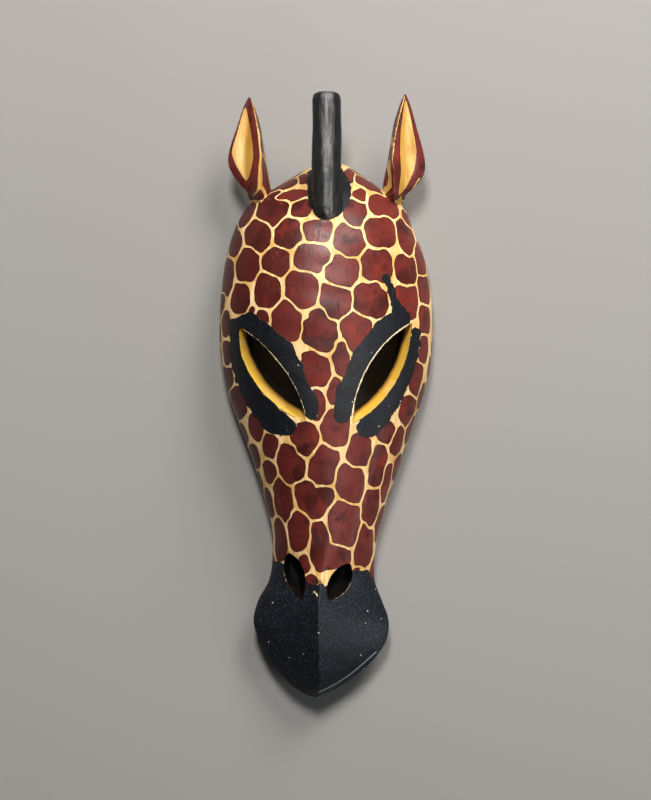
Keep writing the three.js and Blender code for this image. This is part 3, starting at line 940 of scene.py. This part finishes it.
def lay_spots(points):
    """Each coat's signed distance at each point, positive inside a spot, and the tone of the nearest spot."""
    skin = unrolled(points)
    for wavelength, reach, seed in SPOT_WAVER:
        waver = [ripple(points, wavelength, seed), ripple(points, wavelength, seed + 1)]
        skin = skin + reach * np.stack(waver, axis=-1)
    single = CROWN_SPOTS + FOREHEAD_SPOTS + EYE_LEVEL_SPOTS + CHEEK_SPOTS + NOSE_SPOTS
    spots = [spot_from_photo(row) for row in single]
    spots += [joined_spot(rows) for rows in JOINED_SPOTS]
    spots += wall_spots()
    random = np.random.default_rng(8)
    nearest = np.full(len(points), -FAR, float)
    tone = np.zeros(len(points))
    distances = np.full((len(points), SPOT_COATS), -FAR, float)
    for coat, coat_spots in enumerate(deal_out(spots)):
        for spot in coat_spots:
            depth = spot_depth(skin, spot)
            tone = np.where(depth > nearest, random.uniform(0, 1), tone)
            nearest = np.maximum(nearest, depth)
            distances[:, coat] = np.maximum(distances[:, coat], depth)
    return distances, tone


def off_piece(u, v, start, end):
    """How far each place lies from a straight piece of a line, and how far along it as a share."""
    (x0, y0), (x1, y1) = start[:2], end[:2]
    length = max((x1 - x0) ** 2 + (y1 - y0) ** 2, TINY)
    share = np.clip(((u - x0) * (x1 - x0) + (v - y0) * (y1 - y0)) / length, 0, 1)
    return np.hypot(u - mix(x0, x1, share), v - mix(y0, y1, share)), share


def stroke_depth(u, v, stroke):
    """How deep each place lies inside a brush stroke of [x, y, half width] points, negative outside it."""
    depth = np.full(u.shape, -FAR_PIXELS)
    for start, end in zip(stroke, stroke[1:]):
        distance, share = off_piece(u, v, start, end)
        depth = np.maximum(depth, mix(start[2], end[2], share) - distance)
    return depth


def beside(u, v, line):
    """How far each place lies from a line of points, with its own sign on each side."""
    nearest = np.full(u.shape, FAR_PIXELS)
    for start, end in zip(line, line[1:]):
        distance, _ = off_piece(u, v, start, end)
        side = np.sign((u - start[0]) * (end[1] - start[1]) - (v - start[1]) * (end[0] - start[0]))
        nearest = np.where(distance < np.abs(nearest), distance * side, nearest)
    return nearest


def deepest(u, v, strokes):
    return np.max([stroke_depth(u, v, stroke) for stroke in strokes], axis=0)


def smooth_loop(corners):
    """A closed smooth curve through corners, as points."""
    corners = np.array(corners, float)
    return stretches(np.vstack([corners[-1:], corners, corners[:2]]), pull=0.3, pieces=6)


def loop_depth(u, v, loop):
    """How deep each place lies inside a closed loop of points, negative outside it."""
    nearest = np.full(u.shape, FAR_PIXELS)
    inside = np.zeros(u.shape, bool)
    for start, end in zip(loop, np.roll(loop, -1, axis=0)):
        nearest = np.minimum(nearest, off_piece(u, v, start, end)[0])
        (x0, y0), (x1, y1) = start, end
        if y0 != y1:
            inside ^= ((y0 > v) != (y1 > v)) & (u < mix(x0, x1, (v - y0) / (y1 - y0)))
    return np.where(inside, nearest, -nearest)


def lay_black(u, v):
    """The black paint's signed distance in pixels: bands, brow, the ground of the horn and the muzzle."""
    limit = np.array(MUZZLE_LIMIT)
    muzzle = v - np.interp(u, limit[:, 0], limit[:, 1])
    return np.maximum(deepest(u, v, BLACK_STROKES), muzzle)


def lay_ear(u, v):
    """The cream of the ears as a signed distance in pixels, and how far it is darkened to gold as painted
    shade.
    """
    panels = np.max([loop_depth(u, v, smooth_loop(panel)) for panel in (LEFT_PANEL, RIGHT_PANEL)], axis=0)
    # Painted shade: the panels darker gold on the side of each ear's ridge.
    left_panel_shade = smoothstep(u, *PANEL_SHADE_SPAN["left"])
    right_panel_shade = 1 - smoothstep(u, *PANEL_SHADE_SPAN["right"])
    golden = np.where(u < PHOTO["width"] / 2, left_panel_shade, right_panel_shade)
    return np.maximum(panels, deepest(u, v, EAR_STROKES)), golden * (panels > -PANEL_SHADE_SPAN["margin"])


def lay_pale_edges(points):
    """The pale worn lines along the edges of slots and nostrils, as a signed distance in millimetres."""
    strokes = [
        [[x, along, half] for x, along in leaf_edge(leaf, side)[first:end]]
        for leaf, side, first, end, half in PALE_EDGES
    ]
    return deepest(points[:, 0], points[:, 1], strokes)


def add_field(mesh, name, values):
    """A number, or three numbers, kept on each vertex."""
    kind, part = ("FLOAT", "value") if values.ndim == 1 else ("FLOAT_VECTOR", "vector")
    attribute = mesh.attributes.new(name, kind, "POINT")
    attribute.data.foreach_set(part, values.astype(np.float32).ravel())


def lay_paint(body):
    """All paint fields, as attributes of the carving's vertices, in millimetres."""
    mesh = body.data
    points = places(mesh)
    u, v = photo_place(points)
    spots, tone = lay_spots(points)
    cream, golden = lay_ear(u, v)
    of_ear = vertices_of(mesh, "ear")
    below_foot = (v - EAR_FOOT) * MM_PER_PIXEL
    on_ear = of_ear & (below_foot < 0)
    ear_coats = np.full(spots.shape, -FAR, float)
    ear_coats[:, 0] = np.minimum(-cream * MM_PER_PIXEL, -below_foot)
    ear_coats = np.maximum(ear_coats, np.minimum(spots, below_foot[:, None]))
    spots = np.where(of_ear[:, None], ear_coats, spots)
    worn_places = deepest(u, v, WORN_PLACES) * MM_PER_PIXEL
    fields = {
        COAT_FIELDS[0]: spots[:, :3],
        COAT_FIELDS[1]: spots[:, 3:],
        "tone": np.where(on_ear, EAR_TONE, tone),
        # Painted shade down the left side of the face.
        "left_side_shade": np.where(on_ear, 0, smoothstep(-points[:, 0], *LEFT_SIDE_SHADE_SPAN)),
        # Painted shade of the ear panels, beside their ridges.
        "golden": golden * on_ear,
        "black": np.where(on_ear, -EAR_CLEAR, lay_black(u, v) * MM_PER_PIXEL),
        "worn": np.maximum(lay_pale_edges(points), worn_places),
        # Painted highlight along the muzzle's lower right edge.
        "lip_highlight": beside(u, v, LIP_HIGHLIGHT_LINE) * MM_PER_PIXEL,
        # Painted highlight down the horn's top, over rubbed paint.
        "rubbed": deepest(u, v, HORN_HIGHLIGHT_STRIPS) * MM_PER_PIXEL,
        "dark_mark": deepest(u, v, DARK_MARKS) * MM_PER_PIXEL,
        "depth": front_height(points[:, 0], points[:, 1]) - points[:, 2],
    }
    for name, values in fields.items():
        add_field(mesh, name, values)


# Materials.

def linear(colour):
    """A colour as it looks, as the linear values that a shader takes."""
    shares = [value / 255 for value in colour]
    return tuple(s / 12.92 if s <= 0.04045 else ((s + 0.055) / 1.055) ** 2.4 for s in shares) + (1,)


class Wire:
    """A node's output, which can be added to, taken away from and multiplied as a number can."""

    def __init__(self, finish, socket):
        self.finish = finish
        self.socket = socket

    def __add__(self, other):
        return self.finish.maths("ADD", self, other)

    def __sub__(self, other):
        return self.finish.maths("SUBTRACT", self, other)

    def __rsub__(self, other):
        return self.finish.maths("SUBTRACT", other, self)

    def __mul__(self, other):
        return self.finish.maths("MULTIPLY", self, other)


class Finish:
    """A material's nodes, with short calls for those that the finishes share."""

    def __init__(self, name):
        self.material = bpy.data.materials.new(name)
        self.material.use_nodes = True
        self.tree = self.material.node_tree
        self.shader = self.tree.nodes["Principled BSDF"]
        self.place = self.add("ShaderNodeTexCoord", "Object", {})

    def feed(self, socket, value):
        if isinstance(value, Wire):
            self.tree.links.new(value.socket, socket)
        else:
            socket.default_value = value

    def add(self, kind, output, inputs, **settings):
        """A new node with these settings and inputs, as one of its outputs."""
        node = self.tree.nodes.new(kind)
        for name, value in settings.items():
            setattr(node, name, value)
        for name, value in inputs.items():
            self.feed(node.inputs[name], value)
        return Wire(self, node.outputs[output])

    def field(self, name, output="Fac"):
        return self.add("ShaderNodeAttribute", output, {}, attribute_name=name)

    def part(self, vector, axis):
        return self.add("ShaderNodeSeparateXYZ", axis, {0: vector})

    def maths(self, operation, *values):
        return self.add("ShaderNodeMath", 0, dict(enumerate(values)), operation=operation)

    def coats(self):
        """How deep a place lies in the nearest spot and in the second nearest, from all coats' distances."""
        threes = [self.field(name, "Vector") for name in COAT_FIELDS]
        nearest, *others = [self.part(three, axis) for three in threes for axis in "XYZ"]
        second = -FAR
        for depth in others:
            second = self.maths("MAXIMUM", second, self.maths("MINIMUM", nearest, depth))
            nearest = self.maths("MAXIMUM", nearest, depth)
        return nearest, second

    def noise(self, size, stretch=(1, 1, 1), detail=3.0, roughness=0.5, shift=0.0):
        """Noise with features of about this size in metres, drawn out along the axes by the stretch."""
        mapping = {"Vector": self.place, "Scale": [1 / share for share in stretch], "Location": [shift] * 3}
        place = self.add("ShaderNodeMapping", 0, mapping)
        inputs = {"Vector": place, "Scale": 1 / size, "Detail": detail, "Roughness": roughness}
        return self.add("ShaderNodeTexNoise", "Fac", inputs)

    def dots(self, spacing, radius):
        """Sparse round dots: one in some of the cells of this size in metres."""
        cells = self.add("ShaderNodeTexVoronoi", "Distance", {"Vector": self.place, "Scale": 1 / spacing})
        away = self.step(cells, radius / spacing, radius / spacing * 1.4)
        chosen = self.step(self.noise(spacing * 1.5, detail=1, shift=4), 0.49, 0.5)
        return (1.0 - away) * chosen

    def step(self, value, low, high):
        """A soft step from 0 at the low value to 1 at the high one."""
        inputs = {"Value": value, "From Min": low, "From Max": high}
        return self.add("ShaderNodeMapRange", "Result", inputs, interpolation_type="SMOOTHSTEP")

    def between(self, share, first, second):
        """A mix of two numbers."""
        return self.add("ShaderNodeMix", 0, {"Factor": share, 2: first, 3: second}, data_type="FLOAT")

    def layers(self, colour, *layers):
        """A colour with others over it, each as (its share, colour): a colour as it looks, or a wire."""
        for share, top in layers:
            low, high = (linear(each) if isinstance(each, tuple) else each for each in (colour, top))
            colour = self.add("ShaderNodeMix", 2, {"Factor": share, 6: low, 7: high}, data_type="RGBA")
        return colour

    def relief(self, *layers):
        """Bumps, each as (height, depth in metres), one over the other."""
        under = {}
        for height, depth in layers:
            inputs = {"Strength": 1, "Distance": depth, "Height": height, **under}
            under = {"Normal": self.add("ShaderNodeBump", "Normal", inputs)}
        self.feed(self.shader.inputs["Normal"], under["Normal"])

    def finish(self, colour, roughness, shine=0.5):
        self.feed(self.shader.inputs["Base Color"], colour)
        self.feed(self.shader.inputs["Roughness"], roughness)
        self.feed(self.shader.inputs["Specular IOR Level"], shine)
        return self.material


def spot_cover(paint):
    """How deep each place lies in the painted spots, which keep an uneven cream line between them."""
    hand = paint.noise(0.0018) * 0.9 - 0.45
    nearest, second = paint.coats()
    line = paint.noise(0.013, detail=2, shift=9) * LINE_HALF["more"] + LINE_HALF["least"]
    between = (nearest - second) * 0.5 - line
    return paint.maths("SMOOTH_MIN", nearest + hand, between, LINE_ROUNDING)


def cream_paint(paint, creams, brush, streaks):
    """Brushed cream, darker where it is thin, and darkened to gold inside the ears as painted shade beside
    their ridges.
    """
    return paint.layers(
        creams["dark"],
        (paint.step(brush, 0.38, 0.62), creams["plain"]),
        (paint.step(streaks, 0.5, 0.75), creams["light"]),
        # Painted shade of the ear panels, beside their ridges.
        (paint.field("golden") * 0.8, creams["dark"]),
    )


def maroon_paint(paint, inside, brush, pores):
    """Maroon in cloudy tones, with fine dark pores, a dark edge round each spot and painted shade down the
    left side.
    """
    clouds = paint.noise(0.016, shift=5)
    return paint.layers(
        MAROON_DARK,
        (paint.field("tone"), MAROON),
        (paint.step(clouds, 0.35, 0.6), MAROON),
        (paint.step(brush, 0.52, 0.72) * 0.8, MAROON_RED),
        (paint.step(clouds, 0.55, 0.72), MAROON_DARK),
        (pores * 0.6, SPOT_EDGE),
        # Painted shade: the maroon darker down the left side, away from the light.
        (paint.field("left_side_shade") * 0.6, MAROON_DARK),
        ((1.0 - paint.step(inside, 0.15, 0.9)) * 0.75, SPOT_EDGE),
    )


def black_paint(paint, chipped):
    """Blue-black with pale specks, most of them on the muzzle, and a painted highlight along its lit lower
    right edge, partly rubbed paint.
    """
    specks = paint.step(paint.noise(0.0008, detail=2, shift=3), 0.56, 0.74)
    many = paint.between(paint.step(paint.part(paint.place, "Y"), *SPECKS_END), 0.5, 0.15)
    off_lip_highlight = chipped * 0.25 + paint.maths("ABSOLUTE", paint.field("lip_highlight"))
    # Painted highlight on the muzzle's lower right edge, partly rubbed paint.
    lip_highlight = 1.0 - paint.step(off_lip_highlight, LIP_HIGHLIGHT_WIDTH["half"], LIP_HIGHLIGHT_WIDTH["half"] + LIP_HIGHLIGHT_WIDTH["fade"])
    return paint.layers(
        BLUE_BLACK,
        (specks * many, SPECKS),
        (paint.dots(0.006, 0.0004) * 0.8, PALE_DOTS),
        (lip_highlight * 0.7, LIP_HIGHLIGHT_GREY),
    )


def painted_skin(name, creams):
    """Maroon spots on cream, with the black bands and muzzle over them and wood where the paint is worn."""
    paint = Finish(name)
    brush = paint.noise(0.011, stretch=(1, 2.2, 1), detail=5, roughness=0.6)
    streaks = paint.noise(0.0022, stretch=(1, 9, 1))
    pores = paint.step(paint.noise(0.0009, stretch=(1, 12, 1), detail=2), 0.61, 0.72)
    inside = spot_cover(paint)
    spots = paint.step(inside, -0.1, 0.1)
    ragged = paint.noise(0.0055, detail=2.5) * 4.4 - 2.2
    black = paint.step(paint.field("black") + ragged, -0.12, 0.12)
    chipped = paint.noise(0.0012) * 1.6 - 0.8
    worn = paint.step(chipped * 0.5 + paint.field("worn"), -0.05, 0.15)
    # Dark marks beside the nose's ridge and above the muzzle.
    dark_mark = paint.step(paint.field("dark_mark") + chipped, -1.2, 1.0)
    colour = paint.layers(
        cream_paint(paint, creams, brush, streaks),
        (spots, maroon_paint(paint, inside, brush, pores)),
        (dark_mark * 0.7, DARK_MARK),
        (black, black_paint(paint, chipped)),
        (worn, PALE_WOOD),
    )
    paint.relief(
        (brush, 0.00016),
        (streaks, 0.00008),
        (spots, 0.00006),
        (black, 0.00008),
        (paint.noise(0.0008, detail=2, shift=2) * black, 0.00014),
        (1.0 - pores, 0.0001),
    )
    uneven = paint.noise(0.004, shift=7) * 0.16 - 0.08
    gloss = paint.between(black, paint.between(spots, 0.4, 0.33), 0.42)
    return paint.finish(colour, gloss + uneven, paint.between(black, 0.12, 0.17))


def blackened_horn():
    """Black paint rubbed thin over knife facets, with grey streaks along the grain and a painted highlight
    down its top.
    """
    paint = Finish("blackened_whittled_horn")
    streaks = paint.noise(0.0018, stretch=(1, 8, 1), detail=5, roughness=0.65)
    patches = paint.noise(0.012, stretch=(1, 2, 1), detail=2)
    cuts = paint.noise(0.0045, stretch=(1, 2.6, 1), roughness=0.6)
    # Painted highlight: the grey streaks gather down the top of the horn.
    top = paint.step(paint.field("rubbed"), -2.0, 1.5) * 0.9 + 0.1
    rubbed = paint.step(streaks, 0.36, 0.66) * paint.step(patches, 0.2, 0.55) * top
    paint.relief((streaks, 0.0002), (cuts, 0.0004))
    colour = paint.layers(HORN_BLACK, (rubbed * 0.48, HORN_SCUFF_AND_HIGHLIGHT))
    return paint.finish(colour, paint.between(rubbed, 0.4, 0.48), 0.23)


def gold_eye_wall():
    """Golden paint on the slots' walls, darker deeper into the slot, with black spilt over its edge."""
    paint = Finish("golden_eye_wall")
    brush = paint.noise(0.006, stretch=(1, 1, 3), detail=4)
    depth = paint.field("depth") + (brush * 3.0 - 1.5)
    ragged = paint.noise(0.0035, detail=4, roughness=0.6)
    edge = 1.0 - paint.step(ragged * -3.2 + paint.field("depth"), -0.9, -0.7)
    colour = paint.layers(
        GOLD,
        (paint.step(brush, 0.4, 0.7) * paint.step(brush, 0.35, 0.6) * 0.5, GOLD_LIGHT),
        (paint.step(depth, 9.0, 14.5), GOLD_DARK),
        (paint.step(depth, 14.0, 16.5), SHADE_DARK_STAIN),
        (edge, BLUE_BLACK),
    )
    paint.relief((brush, 0.0003), (paint.noise(0.0012), 0.00008))
    return paint.finish(colour, 0.45, 0.3)


def nostril_black():
    """Black pits with a dark red bloom high on the wall."""
    paint = Finish("nostril_black")
    bloom = paint.noise(0.007)
    shallow = 1.0 - paint.step(paint.field("depth"), 2.0, 8.0)
    colour = paint.layers(NOSTRIL_BLACK, (shallow * paint.step(bloom, 0.4, 0.65), NOSTRIL_RED))
    paint.relief((bloom, 0.0004), (paint.noise(0.0012), 0.0001))
    return paint.finish(colour, 0.6, 0.05)


def shade_dark_stained_hollow():
    """Dark stain over gouged wood, made near black as painted shade for the hollow seen through the slots."""
    paint = Finish("shade_dark_stained_hollow")
    grain = paint.noise(0.0016, stretch=(1, 10, 1), detail=4)
    patches = paint.noise(0.02)
    colour = paint.layers(
        SHADE_DARK_STAIN,
        (paint.step(patches, 0.4, 0.7), STAIN_LIGHT),
        (paint.step(grain, 0.5, 0.7) * 0.5, SHADE_DARK_STAIN),
    )
    paint.relief((grain, 0.0002), (patches, 0.0005))
    return paint.finish(colour, 0.7, 0.1)


def bare_rim():
    """The flat rim of bare wood, rubbed darker in places."""
    paint = Finish("bare_rim")
    grain = paint.noise(0.0014, stretch=(1, 14, 1), detail=4, roughness=0.6)
    colour = paint.layers(
        BARE_WOOD,
        (paint.step(grain, 0.4, 0.65), BARE_WOOD_DARK),
        (paint.step(paint.noise(0.03), 0.5, 0.75) * 0.6, STAIN_LIGHT),
    )
    paint.relief((grain, 0.00015))
    return paint.finish(colour, 0.65)


# The stage, the lights and the camera.

def floor():
    """A wide, plain, pale plane just under the rim."""
    mesh = bpy.data.meshes.new("floor")
    corners = [(x * FLOOR_REACH, y * FLOOR_REACH, FLOOR_LEVEL) for x in (-1, 1) for y in (-1, 1)]
    mesh.from_pydata(corners, [], [(0, 2, 3, 1)])
    mesh.materials.append(Finish("plain_floor").finish(linear(FLOOR), 0.8, 0.0))
    plane = bpy.data.objects.new("floor", mesh)
    bpy.context.scene.collection.objects.link(plane)


def soft_light(name, direction, distance, size, watts, colour, only_gloss):
    """An area light aimed at the mask, which may show only in the gloss."""
    data = bpy.data.lights.new(name, "AREA")
    data.shape = "RECTANGLE"
    data.size, data.size_y = size
    data.energy = watts
    data.color = colour
    light = bpy.data.objects.new(name, data)
    towards = Vector(direction).normalized()
    light.location = towards * distance
    light.rotation_euler = towards.to_track_quat("Z", "Y").to_euler()
    light.visible_diffuse = not only_gloss
    bpy.context.scene.collection.objects.link(light)


def lights():
    """A soft key, a light over the crown, a low cool window on the right, two broad sheens and a dim room."""
    for light in LIGHTS:
        soft_light(*light)
    world = bpy.data.worlds.new("room")
    world.use_nodes = True
    for name, value in ROOM_LIGHT.items():
        world.node_tree.nodes["Background"].inputs[name].default_value = value
    bpy.context.scene.world = world


def camera(shift):
    """The photograph's camera, straight over the mask. The shift leads from the carver's frame here."""
    data = bpy.data.cameras.new("camera")
    data.sensor_width = SENSOR
    data.lens = SENSOR * (CAMERA["height"] - PHOTO_PLANE) / (PHOTO["height"] * MM_PER_PIXEL)
    place = bpy.data.objects.new("camera", data)
    place.location = (Vector((CAMERA["x"], CAMERA["along"], CAMERA["height"])) + shift) * MM
    bpy.context.scene.collection.objects.link(place)
    bpy.context.scene.camera = place


def shade(body):
    """Smooth faces with creases where the carving turns sharply."""
    body.data.polygons.foreach_set("use_smooth", np.ones(len(body.data.polygons), bool))
    body.data.set_sharp_from_angle(angle=SHARP_ANGLE)


def frame_shift(body):
    """How far the carver's frame is from the frame's own, so that the boxes' middles agree in plan."""
    points = places(body.data)
    low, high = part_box("mask")
    own = Vector(((points.min(0) + points.max(0)) / 2).tolist())
    target = (low + high) / 2 / MM
    return Vector((target.x - own.x, target.y - own.y, low.z / MM - points[:, 2].min()))


def main():
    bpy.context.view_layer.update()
    materials = {
        "face": painted_skin("painted_face", FACE_CREAM),
        # The ears' copy of the skin, in the darker cream of painted shade.
        "ear": painted_skin("painted_ears_shaded", EAR_CREAM_IN_SHADE),
        "horn": blackened_horn(),
        "hollow": shade_dark_stained_hollow(),
        "eye_wall": gold_eye_wall(),
        "nostril": nostril_black(),
        "rim": bare_rim(),
    }
    body = carve(materials)
    mark_rim(body)
    fill_joints(body)
    wear_edges(body)
    lay_paint(body)
    shift = frame_shift(body)
    body.data.transform(Matrix.Scale(MM, 4) @ Matrix.Translation(shift))
    shade(body)
    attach(body, "root")
    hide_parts("mask")
    floor()
    lights()
    camera(shift)
    bpy.context.scene.view_settings.view_transform = "Standard"


main()
